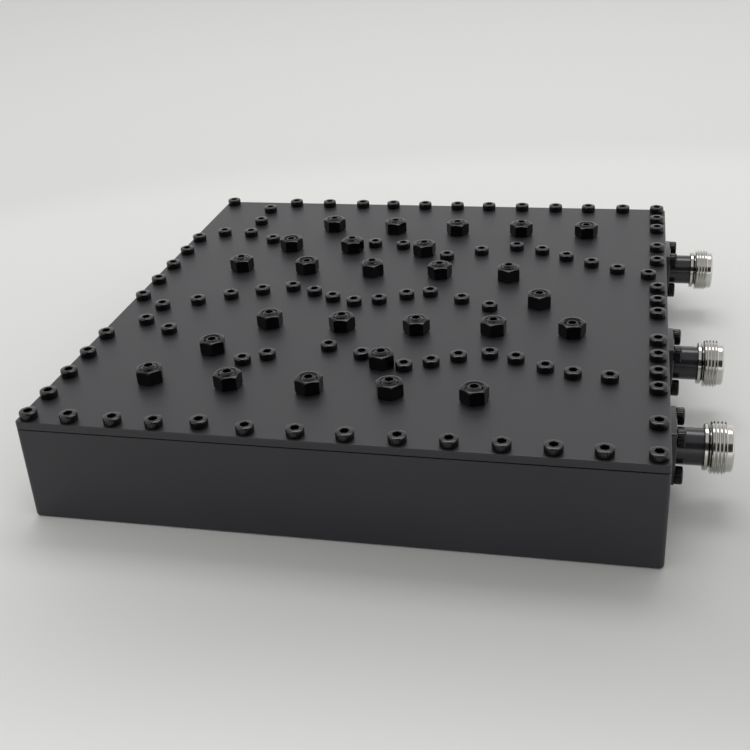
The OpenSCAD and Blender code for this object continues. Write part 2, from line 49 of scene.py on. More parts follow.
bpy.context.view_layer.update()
# In radians: a turn that never brings two neighbours into line, and the turn between a hexagon's corners.
ODD_TURN = 2.4
SIXTH_TURN = math.pi / 3
# The steps of a rounded corner, which is a quarter of a circle.
CORNER_STEPS = 6
# How much wider on each side the mouth of a hexagon socket is than its key.
SOCKET_BREAK = 0.1
# How deep a knurl's flute is at each of its steps, as a share of its full depth: crest, flank, root, flank.
FLUTE = (0.0, 0.5, 1.0, 0.5)
# Points this close, in millimetres, are one: in a flat outline, in a CAD node and in a finished mesh.
OUTLINE_WELD = 1e-6
CAD_WELD = 0.001
MESH_WELD = 0.0005
SHORTEST_EDGE = 0.0002
# Edges sharper than this stay sharp, in degrees.
SMOOTH_DEG = 30.0
# Lengths in metres are compared to this many decimals, so to a micrometre.
DECIMALS = 6
# Almost all of a noise's values lie between these two.
NOISE_LOW, NOISE_HIGH = 0.3, 0.7
# Blender's names of some nodes, and the Mix node's sockets for colours and for values.
MATH = "ShaderNodeMath"
VECTOR_MATH = "ShaderNodeVectorMath"
MIX = "ShaderNodeMix"
COLOUR_A, COLOUR_B, COLOUR_OUT = 6, 7, 2
VALUE_A, VALUE_B, VALUE_OUT = 2, 3, 0

Loop = list[Vector]
Source = NodeSocket


def linear(hex_code: str) -> tuple[float, float, float, float]:
    """Turns an sRGB hex colour into the linear colour that Blender's sockets take.

    Args:
        hex_code: the colour as six hex digits with a leading hash.

    Returns:
        Linear red, green and blue, with an alpha of 1.
    """
    parts = [int(hex_code[i:i + 2], 16) / 255 for i in (1, 3, 5)]
    red, green, blue = (c / 12.92 if c <= 0.04045 else ((c + 0.055) / 1.055) ** 2.4 for c in parts)
    return red, green, blue, 1.0


def add_node(
    tree: NodeTree,
    kind: str,
    settings: Mapping[str | int, Any] | None = None,
    links: Mapping[str | int, Source] | None = None,
) -> Node:
    """Adds one node with its settings and links.

    Args:
        tree: the node tree that gets the node.
        kind: Blender's type name of the node.
        settings: values for its properties by name, or for its sockets by name or number.
        links: for each of its sockets that is fed, by name or number, the socket that feeds it.

    Returns:
        The new node.
    """
    made = tree.nodes.new(kind)
    for key, value in (settings or {}).items():
        if isinstance(key, str) and key in made.bl_rna.properties and key not in made.inputs:
            setattr(made, key, value)
        else:
            made.inputs[key].default_value = value
    for key, source in (links or {}).items():
        tree.links.new(source, made.inputs[key])
    return made


class Axis(Enum):
    """The row's axes, by their unit vectors."""

    X = (1.0, 0.0, 0.0)
    Y = (0.0, 1.0, 0.0)
    Z = (0.0, 0.0, 1.0)


@dataclass(frozen=True)
class Canvas:
    """What a finish is drawn on: a material's nodes, its coordinates in metres and its shader."""

    tree: NodeTree
    place: Source
    shader: Node


@dataclass(frozen=True)
class Reach:
    """A flat limit: what lies past it along an axis is inside the reach."""

    axis: Axis
    start_mm: float
    forwards: bool = True

    def past(self, on: Canvas) -> Source:
        """Works out how far a point lies past the limit.

        Args:
            on: what is drawn on.

        Returns:
            The distance in metres, negative before the limit.
        """
        sign = 1.0 if self.forwards else -1.0
        way = {"operation": "DOT_PRODUCT", 1: tuple(sign * c for c in self.axis.value)}
        along = add_node(on.tree, VECTOR_MATH, way, {0: on.place}).outputs["Value"]
        limit = {"operation": "SUBTRACT", 1: sign * self.start_mm * MM}
        return add_node(on.tree, MATH, limit, {0: along}).outputs["Value"]


@dataclass(frozen=True)
class Pattern:
    """An uneven pattern whose lumps have a real size, with a number of finer octaves in them."""

    size_mm: float
    octaves: float = 2.0
    # How fast the pattern goes along each axis: under 1 where its lumps are drawn out.
    pace: tuple[float, float, float] = (1.0, 1.0, 1.0)

    def draw(self, on: Canvas) -> Source:
        """Draws the pattern.

        Args:
            on: what is drawn on.

        Returns:
            Its values, about 0 to 1.
        """
        pace = {"operation": "MULTIPLY", 1: self.pace}
        place = add_node(on.tree, VECTOR_MATH, pace, {0: on.place}).outputs["Vector"]
        lumps = {"Scale": 1 / (self.size_mm * MM), "Detail": self.octaves}
        return add_node(on.tree, "ShaderNodeTexNoise", lumps, {"Vector": place}).outputs["Fac"]


@dataclass(frozen=True)
class Finish:
    """A surface finish, made as one shader whose values come from real sizes in millimetres."""

    name: str
    # How far the texture rises, and how much of that the light feels.
    relief_mm: float = field(default=0.0, kw_only=True)
    relief_strength: float = field(default=0.5, kw_only=True)

    def material(self) -> Material:
        """Makes the material of this finish.

        Returns:
            The material, with its nodes built.
        """
        made = bpy.data.materials.new(self.name)
        made.use_nodes = True
        tree = made.node_tree
        tree.nodes.clear()
        place = add_node(tree, "ShaderNodeTexCoord").outputs["Object"]
        shader = add_node(tree, "ShaderNodeBsdfPrincipled")
        self.dress(Canvas(tree, place, shader))
        out = add_node(tree, "ShaderNodeOutputMaterial")
        tree.links.new(shader.outputs["BSDF"], out.inputs["Surface"])
        return made

    def dress(self, on: Canvas) -> None:
        """Feeds the shader; each kind of finish does this in its own way."""
        raise NotImplementedError

    def uneven(self, on: Canvas, middle: float, *swings: tuple[Source, float]) -> Source:
        """Makes a value that one or more patterns move up and down.

        Args:
            on: what is drawn on.
            middle: the value halfway between its ups and downs.
            swings: each pattern, with how far it moves the value either way.

        Returns:
            The value.
        """
        total: Source | None = None
        for pattern, swing in swings:
            # The first pattern swings about the middle, and what the others add swings about zero.
            centre = middle if total is None else 0.0
            limits = {"From Min": NOISE_LOW, "From Max": NOISE_HIGH}
            limits |= {"To Min": centre - swing, "To Max": centre + swing}
            value = add_node(on.tree, "ShaderNodeMapRange", limits, {"Value": pattern}).outputs["Result"]
            if total is not None:
                value = add_node(on.tree, MATH, {"operation": "ADD"}, {0: total, 1: value}).outputs["Value"]
            total = value
        return total

    def coated(self, on: Canvas, base: Source | str, *coats: tuple[Source, Source | str]) -> Source:
        """Lays colours over one another.

        Args:
            on: what is drawn on.
            base: the colour underneath, as hex or a socket.
            coats: for each coat, from below, how much of it shows and its colour, as hex or a socket.

        Returns:
            The colour that comes out on top.
        """
        for share, coat in coats:
            settings: dict[str | int, Any] = {"data_type": "RGBA"}
            links: dict[str | int, Source] = {0: share}
            for slot, colour in ((COLOUR_A, base), (COLOUR_B, coat)):
                if isinstance(colour, str):
                    settings[slot] = linear(colour)
                else:
                    links[slot] = colour
            base = add_node(on.tree, MIX, settings, links).outputs[COLOUR_OUT]
        return base

    def clouded(self, on: Canvas, clouds: Source, one: str, other: str) -> Source:
        """Makes a colour that drifts between two hex colours with a pattern."""
        return self.coated(on, one, (self.uneven(on, 0.5, (clouds, 0.5)), other))

    def feed(self, on: Canvas, colour: Source, roughness: Source, height: Source | None = None) -> None:
        """Feeds the shader.

        Args:
            on: what is drawn on.
            colour: the colour.
            roughness: the roughness.
            height: how high the raised texture stands, as a share of its relief.
        """
        on.tree.links.new(colour, on.shader.inputs["Base Color"])
        on.tree.links.new(roughness, on.shader.inputs["Roughness"])
        if height is not None:
            relief = {"Strength": self.relief_strength, "Distance": self.relief_mm * MM}
            raised = add_node(on.tree, "ShaderNodeBump", relief, {"Height": height})
            on.tree.links.new(raised.outputs["Normal"], on.shader.inputs["Normal"])


@dataclass(frozen=True)
class SprayedPaint(Finish):
    """Satin black enamel, sprayed over the whole assembly, on a metal that shows past its reach."""

    reaches: tuple[Reach, ...]
    metal: str
    # A seam or groove at the limit of a reach: painted shade darkens it up to half a width on either side.
    seam: Reach
    # The near-black colour of the painted shade in the seam or groove, and half the width that it covers.
    seam_shade: str = "#0a0a0b"
    seam_shade_half_mm: float = 0.36
    metal_roughness: float = 0.34
    # Black enamel is never quite black: it dries a little uneven, warm in some places and cold in others.
    dark: str = "#212126"
    light: str = "#26262b"
    # Satin gloss: the sheen spreads wide, and a fine orange peel breaks it up.
    roughness: float = 0.42
    ior: float = 1.5
    clouds: Pattern = Pattern(38.0, 3.0)
    peel: Pattern = Pattern(1.6)
    # The grit of the spray is about 0.1 mm, too fine to show, so it is drawn three times as coarse.
    grit: Pattern = Pattern(0.3, 1.0)
    # How far the clouds and the grit move the roughness, and the peel's share of the relief.
    cloud_swing: float = 0.025
    grit_swing: float = 0.03
    peel_share: float = 0.7
    relief_mm: float = field(default=0.02, kw_only=True)
    # Grains of dust: their colour and how much of it shows, their width and the gap between them.
    dust: str = "#56554f"
    dust_share: float = 0.35
    dust_mm: float = 0.2
    dust_gap_mm: float = 7.0

    def dress(self, on: Canvas) -> None:
        """Mixes paint and bare metal in colour, metalness and roughness, and raises the paint's texture.

        Args:
            on: what is drawn on.
        """
        painted = self.painted(on)
        clouds, peel, grit = (pattern.draw(on) for pattern in (self.clouds, self.peel, self.grit))
        enamel = self.clouded(on, clouds, self.dark, self.light)
        paint = self.coated(on, enamel, (self.dusty(on), self.dust))
        # Painted shade darkens the seam or groove.
        colour = self.coated(on, self.metal, (painted, paint), (self.painted_seam_shade(on), self.seam_shade))
        gloss = self.uneven(on, self.roughness, (clouds, self.cloud_swing), (grit, self.grit_swing))
        metal = {"data_type": "FLOAT", VALUE_A: self.metal_roughness}
        roughness = add_node(on.tree, MIX, metal, {0: painted, VALUE_B: gloss}).outputs[VALUE_OUT]
        lumps, grains = (
            add_node(on.tree, MATH, {"operation": "MULTIPLY", 1: share}, {0: pattern}).outputs["Value"]
            for pattern, share in ((peel, self.peel_share), (grit, 1 - self.peel_share))
        )
        height = add_node(on.tree, MATH, {"operation": "ADD"}, {0: lumps, 1: grains}).outputs["Value"]
        self.feed(on, colour, roughness, height)
        bare = add_node(on.tree, MATH, {"operation": "SUBTRACT", 0: 1.0}, {1: painted}).outputs["Value"]
        on.tree.links.new(bare, on.shader.inputs["Metallic"])
        on.shader.inputs["IOR"].default_value = self.ior

    def painted(self, on: Canvas) -> Source:
        """Tells the paint from the bare metal.

        Args:
            on: what is drawn on.

        Returns:
            1 where a point lies within one of the reaches, 0 elsewhere.
        """
        farthest, *others = (reach.past(on) for reach in self.reaches)
        for other in others:
            pair = {0: farthest, 1: other}
            farthest = add_node(on.tree, MATH, {"operation": "MAXIMUM"}, pair).outputs["Value"]
        over = {"operation": "GREATER_THAN", 1: 0.0}
        return add_node(on.tree, MATH, over, {0: farthest}).outputs["Value"]

    def painted_seam_shade(self, on: Canvas) -> Source:
        """Works out how much painted shade darkens the seam and the paint beside it.

        Args:
            on: what is drawn on.

        Returns:
            1 within half of the painted shade's width, fading to 0 at its full width.
        """
        away = add_node(on.tree, MATH, {"operation": "ABSOLUTE"}, {0: self.seam.past(on)}).outputs["Value"]
        half = self.seam_shade_half_mm * MM
        limits = {"From Min": half / 2, "From Max": half, "To Min": 1.0, "To Max": 0.0}
        return add_node(on.tree, "ShaderNodeMapRange", limits, {"Value": away}).outputs["Result"]

    def dusty(self, on: Canvas) -> Source:
        """Scatters the rare grains of dust that are caught in the paint.

        Args:
            on: what is drawn on.

        Returns:
            How much of the dust's colour shows.
        """
        spread = {"Scale": 1 / (self.dust_gap_mm * MM), "Randomness": 1.0}
        away = add_node(on.tree, "ShaderNodeTexVoronoi", spread, {"Vector": on.place}).outputs["Distance"]
        width = {"operation": "LESS_THAN", 1: self.dust_mm / 2 / self.dust_gap_mm}
        grain = add_node(on.tree, MATH, width, {0: away}).outputs["Value"]
        share = {"operation": "MULTIPLY", 1: self.dust_share}
        return add_node(on.tree, MATH, share, {0: grain}).outputs["Value"]


@dataclass(frozen=True)
class OneMaterial(Finish):
    """A finish that is the same all over, with a clouded colour and gloss and a fine raised texture."""

    colour: str
    shade: str
    roughness: float
    fine: Pattern
    clouds: Pattern
    # How far the clouds and the fine texture move the roughness.
    cloud_swing: float
    fine_swing: float

    def dress(self, on: Canvas) -> None:
        """Clouds the colour and the gloss, raises the fine texture and sets the constants.

        Args:
            on: what is drawn on.
        """
        clouds, fine = (pattern.draw(on) for pattern in (self.clouds, self.fine))
        colour = self.clouded(on, clouds, self.colour, self.shade)
        roughness = self.uneven(on, self.roughness, (clouds, self.cloud_swing), (fine, self.fine_swing))
        self.feed(on, colour, roughness, fine)
        for name, value in self.constants().items():
            on.shader.inputs[name].default_value = value

    def constants(self) -> dict[str, float]:
        """The values of those sockets of the shader that are the same all over."""
        raise NotImplementedError


@dataclass(frozen=True)
class BlackOxide(OneMaterial):
    """Steel blackened in a hot bath and oiled: deep black, with a soft oily gloss on its turned edges."""

    colour: str = "#020202"
    shade: str = "#050505"
    roughness: float = 0.22
    # The oil film lies thinner on the flats of a nut than on a screw, so less light comes back from them.
    ior: float = 1.55
    clouds: Pattern = Pattern(2.4, 3.0)
    # The etched skin is finer than 0.05 mm, too fine to show, so its lumps are a quarter of a millimetre.
    fine: Pattern = Pattern(0.25, 1.0)
    cloud_swing: float = 0.05
    fine_swing: float = 0.03
    relief_mm: float = field(default=0.006, kw_only=True)

    def constants(self) -> dict[str, float]:
        """The oil film's index of refraction."""
        return {"IOR": self.ior}


@dataclass(frozen=True)
class PlatedMetal(OneMaterial):
    """A metal, plated or bare, with the fine marks of the tool that cut or rolled it."""

    clouds: Pattern = Pattern(6.0, 3.0)
    cloud_swing: float = 0.03
    fine_swing: float = 0.02
    relief_mm: float = field(default=0.002, kw_only=True)
    relief_strength: float = field(default=0.6, kw_only=True)

    def constants(self) -> dict[str, float]:
        """Metal throughout, with the default index of refraction."""
        return {"Metallic": 1.0}


@dataclass(frozen=True)
class TurnedPtfe(OneMaterial):
    """PTFE turned from bar: waxy white, with faint rings and a soft glow under its skin."""

    colour: str = "#f3f2ed"
    shade: str = "#e6e4dc"
    roughness: float = 0.38
    ior: float = 1.38
    # How much of the light goes under the skin, and how far.
    glow: float = 0.15
    glow_mm: float = 0.6
    clouds: Pattern = Pattern(3.0)
    fine: Pattern = Pattern(0.2)
    cloud_swing: float = 0.0
    fine_swing: float = 0.05
    relief_mm: float = field(default=0.004, kw_only=True)
    relief_strength: float = field(default=0.4, kw_only=True)

    def constants(self) -> dict[str, float]:
        """The index of refraction and the glow."""
        return {"IOR": self.ior, "Subsurface Weight": self.glow, "Subsurface Scale": self.glow_mm * MM}


@dataclass(frozen=True)
class PaleLaminate(Finish):
    """The table and the backdrop in one sheet: matt white laminate, with painted shadow close to the object
    and painted light towards the camera.
    """

    # The tones by their distance from a point on the table near the camera: how far off each gives way to
    # the next, and half the width over which it does.
    centre_mm: tuple[float, float, float] = (114.0, -294.0, 0.0)
    # The darker front tone close to the object is painted shadow.
    front: str = "#cbccc9"
    front_mm: float = 245.0
    front_soft_mm: float = 55.0
    near: str = "#e8e9e6"
    edge_mm: float = 588.0
    edge_soft_mm: float = 38.0
    far: str = "#e0e1df"
    # Towards the camera the table is brighter, painted light, from this far in front of the row's middle.
    painted_light: str = "#f0f1ee"
    painted_light_mm: float = 165.0
    painted_light_soft_mm: float = 45.0
    roughness: float = 0.53
    grain: Pattern = Pattern(2.0)
    grain_swing: float = 0.03

    def dress(self, on: Canvas) -> None:
        """Grades the colour by the distance from the centre, with painted shadow near the object, and
        brightens it towards the camera with painted light.

        Args:
            on: what is drawn on.
        """
        centre = {"operation": "DISTANCE", 1: tuple(c * MM for c in self.centre_mm)}
        away = add_node(on.tree, VECTOR_MATH, centre, {0: on.place}).outputs["Value"]
        before = Reach(Axis.Y, 0.0, False).past(on)
        colour = self.coated(
            on,
            self.front,
            (self.beyond(on, away, self.front_mm, self.front_soft_mm), self.near),
            (self.beyond(on, away, self.edge_mm, self.edge_soft_mm), self.far),
            (self.beyond(on, before, self.painted_light_mm, self.painted_light_soft_mm), self.painted_light),
        )
        self.feed(on, colour, self.uneven(on, self.roughness, (self.grain.draw(on), self.grain_swing)))

    def beyond(self, on: Canvas, away: Source, edge_mm: float, soft_mm: float) -> Source:
        """Works out how far a point lies beyond a soft edge.

        Args:
            on: what is drawn on.
            away: the point's distance, in metres.
            edge_mm: the edge's distance.
            soft_mm: half the width over which it fades.

        Returns:
            0 before the edge, 1 beyond it.
        """
        limits = {"From Min": (edge_mm - soft_mm) * MM, "From Max": (edge_mm + soft_mm) * MM}
        limits["interpolation_type"] = "SMOOTHSTEP"
        return add_node(on.tree, "ShaderNodeMapRange", limits, {"Value": away}).outputs["Result"]


class Shape:
    """A mesh that is built up in a bmesh, in millimetres, and then handed over as a Blender object."""

    def __init__(self) -> None:
        """Starts an empty shape."""
        self.bm = bmesh.new()

    def ring(self, radius: float, z: float, count: int) -> list[BMVert]:
        """Adds a circle of vertices about Z."""
        return self.loop(circle((0.0, 0.0), radius, count), z)

    def bridge(self, low: Sequence[BMVert], high: Sequence[BMVert]) -> None:
        """Joins two loops of equal length with quads.

        Args:
            low: the first loop.
            high: the second loop; the faces look outwards where it lies above an anticlockwise first loop.
        """
        count = len(low)
        for i in range(count):
            j = (i + 1) % count
            self.bm.faces.new((low[i], low[j], high[j], high[i]))

    def stack(self, loops: Sequence[Sequence[BMVert]]) -> None:
        """Joins each loop of a row to the next one."""
        for low, high in zip(loops, loops[1:]):
            self.bridge(low, high)

    def rectangle(self, middle: Vector, across: Vector, along: Vector) -> None:
        """Adds a rectangle by its middle and the ways from there to two neighbouring sides."""
        signs = ((-1, -1), (1, -1), (1, 1), (-1, 1))
        self.bm.faces.new([self.bm.verts.new(middle + a * across + b * along) for a, b in signs])

    def revolve(self, profile: Sequence[tuple[float, float]], count: int) -> None:
        """Turns an open profile about Z.

        Args:
            profile: (radius, height) of each corner, in order.
            count: the number of steps round the axis.
        """
        self.stack([self.ring(radius, z, count) for radius, z in profile])

    def sheet(self, outline: Loop, holes: Sequence[Loop], z: float, up: bool) -> None:
        """Adds a flat face with holes.

        Args:
            outline: the outer corners, anticlockwise.
            holes: the corners of each hole, anticlockwise.
            z: the height.
            up: whether it looks up.
        """
        points: list[Vector] = []
        edges: list[tuple[int, int]] = []
        for loop in [outline, *holes]:
            start = len(points)
            points += loop
            edges += [(start + i, start + (i + 1) % len(loop)) for i in range(len(loop))]
        flat, _, faces, _, _, _ = delaunay_2d_cdt(points, edges, [], 0, OUTLINE_WELD)
        verts = [self.bm.verts.new((p.x, p.y, z)) for p in flat]
        for face in faces:
            middle = sum((flat[i] for i in face), Vector((0, 0))) / len(face)
            if not inside(middle, outline) or any(inside(middle, hole) for hole in holes):
                continue
            corners = [verts[i] for i in face]
            made = self.bm.faces.new(corners)
            made.normal_update()
            if (made.normal.z > 0) != up:
                made.normal_flip()

    def loop(self, corners: Loop, z: float) -> list[BMVert]:
        """Adds a closed loop of vertices at one height."""
        return [self.bm.verts.new((p.x, p.y, z)) for p in corners]

    def socket(self, key: float, top: float, depth: float) -> None:
        """Adds a hexagon socket under a hole in a face that has the outline of its mouth.

        Args:
            key: its width across the flats.
            top: the height of the face.
            depth: its depth below the face.
        """
        corners = hexagon(key)
        mouth = self.loop(socket_mouth(key), top)
        throat = self.loop(corners, top - SOCKET_BREAK)
        foot = self.loop(corners, top - depth)
        self.stack([mouth, throat, foot])
        self.bm.faces.new(self.loop(corners, top - depth))

    def copy_in(self, mesh: Mesh, place: Matrix) -> None:
        """Adds a copy of a mesh.

        Args:
            mesh: the mesh, in millimetres.
            place: where the copy goes, in millimetres.
        """
        known = len(self.bm.verts)
        self.bm.from_mesh(mesh)
        self.bm.verts.ensure_lookup_table()
        bmesh.ops.transform(self.bm, matrix=place, verts=self.bm.verts[known:])

    def hand_over(self, name: str) -> Mesh:
        """Turns the shape into a mesh from which copies are made.

        Args:
            name: the mesh's name.

        Returns:
            The mesh, in millimetres.
        """
        mesh = bpy.data.meshes.new(name)
        self.bm.to_mesh(mesh)
        self.bm.free()
        return mesh

    def close(self, name: str, place: Matrix, finish: Material) -> Object:
        """Welds the shape and turns it into an object.

        Args:
            name: the piece's name.
            place: where it goes, in metres, applied to the mesh.
            finish: its material.

        Returns:
            The object, linked to the scene.
        """
        bmesh.ops.remove_doubles(self.bm, verts=self.bm.verts, dist=MESH_WELD)
        bmesh.ops.dissolve_degenerate(self.bm, dist=SHORTEST_EDGE, edges=self.bm.edges)
        loose = [v for v in self.bm.verts if not v.link_faces]
        bmesh.ops.delete(self.bm, geom=loose, context="VERTS")
        bmesh.ops.recalc_face_normals(self.bm, faces=self.bm.faces)
        self.bm.transform(place @ Matrix.Scale(MM, 4))
        mesh = self.hand_over(name)
        mesh.materials.append(finish)
        mesh.shade_smooth()
        mesh.set_sharp_from_angle(angle=math.radians(SMOOTH_DEG))
        made = bpy.data.objects.new(name, mesh)
        bpy.context.scene.collection.objects.link(made)
        return made


def inside(point: Vector, loop: Loop) -> bool:
    """Tells whether a flat point lies inside a closed loop.

    Args:
        point: the point.
        loop: the loop's corners.

    Returns:
        True if it does.
    """
    found = False
    for a, b in zip(loop, loop[1:] + loop[:1]):
        if (a.y > point.y) != (b.y > point.y):
            if point.x < a.x + (point.y - a.y) * (b.x - a.x) / (b.y - a.y):
                found = not found
    return found


def arc(centre: tuple[float, float], radius: float, turns: Sequence[float]) -> Loop:
    """The points of a circle at some turns in radians."""
    return [Vector((centre[0] + radius * math.cos(a), centre[1] + radius * math.sin(a))) for a in turns]


def circle(centre: tuple[float, float], radius: float, count: int) -> Loop:
    """The corners of a circle, anticlockwise."""
    return arc(centre, radius, [2 * math.pi * i / count for i in range(count)])


def corner_turns(quarter: int = 0) -> list[float]:
    """The turns in radians along one quarter of a circle, with both of its ends."""
    return [math.radians(90 * quarter + 90 * i / CORNER_STEPS) for i in range(CORNER_STEPS + 1)]


def hexagon(across: float) -> Loop:
    """The corners of a hexagon of a width across its flats, anticlockwise."""
    return circle((0.0, 0.0), across / math.sqrt(3), 6)


def socket_mouth(key: float) -> Loop:
    """The corners of the mouth of a hexagon socket, whose edge is broken, by the width of its key."""
    return hexagon(key + 2 * SOCKET_BREAK)


@dataclass(frozen=True)
class Thread:
    """An outer thread along Z, cut by a chamfer at both ends."""

    diameter: float
    pitch: float
    depth: float
    start: float
    end: float
    chamfer: float = 0.4
    steps: int = 96
    rows: int = 12
    # The turn by which the whole thread is rotated, as a share of a full one: a whole number of steps.
    lead: float = 0.0
    # Half a crest and the flanks' end, as shares of the pitch, and how steep the chamfers are.
    crest: float = 1 / 16
    root: float = 3 / 8
    slope: float = 1.2

    def radius(self, turn: float, z: float) -> float:
        """The outer radius within the thread.

        Args:
            turn: the place round the axis, from 0 to 1.
            z: the height.

        Returns:
            The radius of a crest, a flank or a root, or of the chamfer where that cuts deeper.
        """
        phase = abs(((z - self.start) / self.pitch - turn + 0.5) % 1 - 0.5)
        drop = min(max((phase - self.crest) / (self.root - self.crest), 0), 1) * self.depth
        cut = max(self.chamfer - min(z - self.start, self.end - z), 0) * self.slope
        return self.diameter / 2 - max(drop, cut)

    def rim(self, z: float) -> Loop:
        """The thread's outline at one height, anticlockwise."""
        corners = circle((0.0, 0.0), 1.0, self.steps)
        return [corner * self.radius(i / self.steps - self.lead, z) for i, corner in enumerate(corners)]

    def surface(self, shape: Shape) -> None:
        """Adds the helical surface of the thread.

        Args:
            shape: the shape that gets it.
        """
        rows = math.ceil(((self.end - self.start) / self.pitch + 1) * self.rows) + 1
        grid = []
        for row in range(rows + 1):
            line = []
            for i in range(self.steps + 1):
                turn = i / self.steps
                z = self.start + (row / self.rows + turn - 1) * self.pitch
                z = min(max(z, self.start), self.end)
                radius = self.radius(turn, z)
                angle = 2 * math.pi * (turn + self.lead)
                line.append(shape.bm.verts.new((radius * math.cos(angle), radius * math.sin(angle), z)))
            grid.append(line)
        for low, high in zip(grid, grid[1:]):
            for i in range(self.steps):
                shape.bm.faces.new((low[i], low[i + 1], high[i + 1], high[i]))


@dataclass(frozen=True)
class CapScrew:
    """A socket cap screw with a knurled head and a plain shank, along Z, with its top at zero."""

    head_d: float = 5.4
    head_h: float = 2.4
    edge: float = 0.45
    seat_break: float = 0.15
    key: float = 2.5
    socket: float = 1.4
    shank_d: float = 3.0
    shank_l: float = 6.0
    tip: float = 0.4
    flutes: int = 24
    flute_depth: float = 0.12
    shank_steps: int = 24

    @property
    def head_steps(self) -> int:
        """The steps round the head, which are those of all its flutes."""
        return len(FLUTE) * self.flutes

    def knurl(self, shape: Shape, z: float) -> list[BMVert]:
        """Adds one loop of the knurled side.

        Args:
            shape: the shape that gets the loop.
            z: the height.

        Returns:
            The loop, anticlockwise.
        """
        corners = circle((0.0, 0.0), 1.0, self.head_steps)
        for i, corner in enumerate(corners):
            corner *= self.head_d / 2 - self.flute_depth * FLUTE[i % len(FLUTE)]
        return shape.loop(corners, z)

    def solid(self) -> Mesh:
        """Builds the screw once.

        Returns:
            Its mesh, in millimetres.
        """
        shape = Shape()
        steps = self.head_steps
        outer = self.head_d / 2
        seat = -self.head_h
        half_edge = self.edge * (1 - math.sqrt(0.5))
        shape.stack([
            shape.ring(outer - self.seat_break, seat, steps),
            self.knurl(shape, seat + self.seat_break),
            self.knurl(shape, -self.edge - self.flute_depth),
            shape.ring(outer, -self.edge, steps),
            shape.ring(outer - half_edge, -half_edge, steps),
            shape.ring(outer - self.edge, 0.0, steps),
        ])
        middle = (0.0, 0.0)
        shape.sheet(circle(middle, outer - self.edge, steps), [socket_mouth(self.key)], 0.0, True)
        shape.socket(self.key, 0.0, self.socket)
        shank = self.shank_d / 2
        neck = circle(middle, shank, self.shank_steps)
        shape.sheet(circle(middle, outer - self.seat_break, steps), [neck], seat, False)
        end = seat - self.shank_l
        shape.revolve([(shank - self.tip, end), (shank, end + self.tip), (shank, seat)], self.shank_steps)
        shape.bm.faces.new(shape.loop(circle(middle, shank - self.tip, self.shank_steps), end))
        return shape.hand_over("cap_screw")


@dataclass(frozen=True)
class SetScrew:
    """A set screw, threaded all along, with a hexagon socket: its axis is Z, and its top is at zero."""

    diameter: float = 5.0
    length: float = 20.0
    pitch: float = 0.8
    depth: float = 0.47
    tip: float = 0.65
    key: float = 2.5
    socket: float = 3.0
    steps: int = 32
    rows: int = 6

    def solid(self) -> Mesh:
        """Builds the screw once.

        Returns:
            Its mesh, in millimetres.
        """
        shape = Shape()
        ends = (-self.length, 0.0)
        thread = Thread(self.diameter, self.pitch, self.depth, *ends, self.tip, self.steps, self.rows)
        thread.surface(shape)
        shape.sheet(thread.rim(0.0), [socket_mouth(self.key)], 0.0, True)
        shape.sheet(thread.rim(-self.length), [], -self.length, False)
        shape.socket(self.key, 0.0, self.socket)
        return shape.hand_over("set_screw")


@dataclass(frozen=True)
class LockNut:
    """A hexagon nut with turned corners and a countersunk bore: its axis is Z, and its top is at zero."""

    across: float = 7.8
    height: float = 4.6
    bore_d: float = 5.06
    sink: float = 0.55
    # The turned face's width as a share of that across the flats, and how steeply the corners fall from it.
    washer: float = 0.94
    corner_slope: float = 0.577
    steps: int = 96

    def girdle(self, shape: Shape, sign: float) -> list[BMVert]:
        """Adds the wavy loop where the turned corners run out into the six flats.

        Args:
            shape: the shape that gets the loop.
            sign: 1 for the top, -1 for the underside.

        Returns:
            The loop, anticlockwise.
        """
        made = []
        for corner in circle((0.0, 0.0), 1.0, self.steps):
            turn = (math.atan2(corner.y, corner.x) + SIXTH_TURN / 2) % SIXTH_TURN - SIXTH_TURN / 2
            radius = self.across / 2 / math.cos(turn)
            drop = max(radius - self.washer * self.across / 2, 0.0) * self.corner_slope
            height = -drop if sign > 0 else drop - self.height
            made.append(shape.bm.verts.new((*(corner * radius), height)))
        return made

    def solid(self) -> Mesh:
        """Builds the nut once, with a flat towards X.

        Returns:
            Its mesh, in millimetres.
        """
        shape = Shape()
        face = self.washer * self.across / 2
        bore = self.bore_d / 2
        loops = [
            shape.ring(bore, -self.height, self.steps),
            shape.ring(face, -self.height, self.steps),
            self.girdle(shape, -1.0),
            self.girdle(shape, 1.0),
            shape.ring(face, 0.0, self.steps),
            shape.ring(bore + self.sink, 0.0, self.steps),
            shape.ring(bore, -self.sink, self.steps),
        ]
        shape.stack(loops + loops[:1])
        return shape.hand_over("lock_nut")


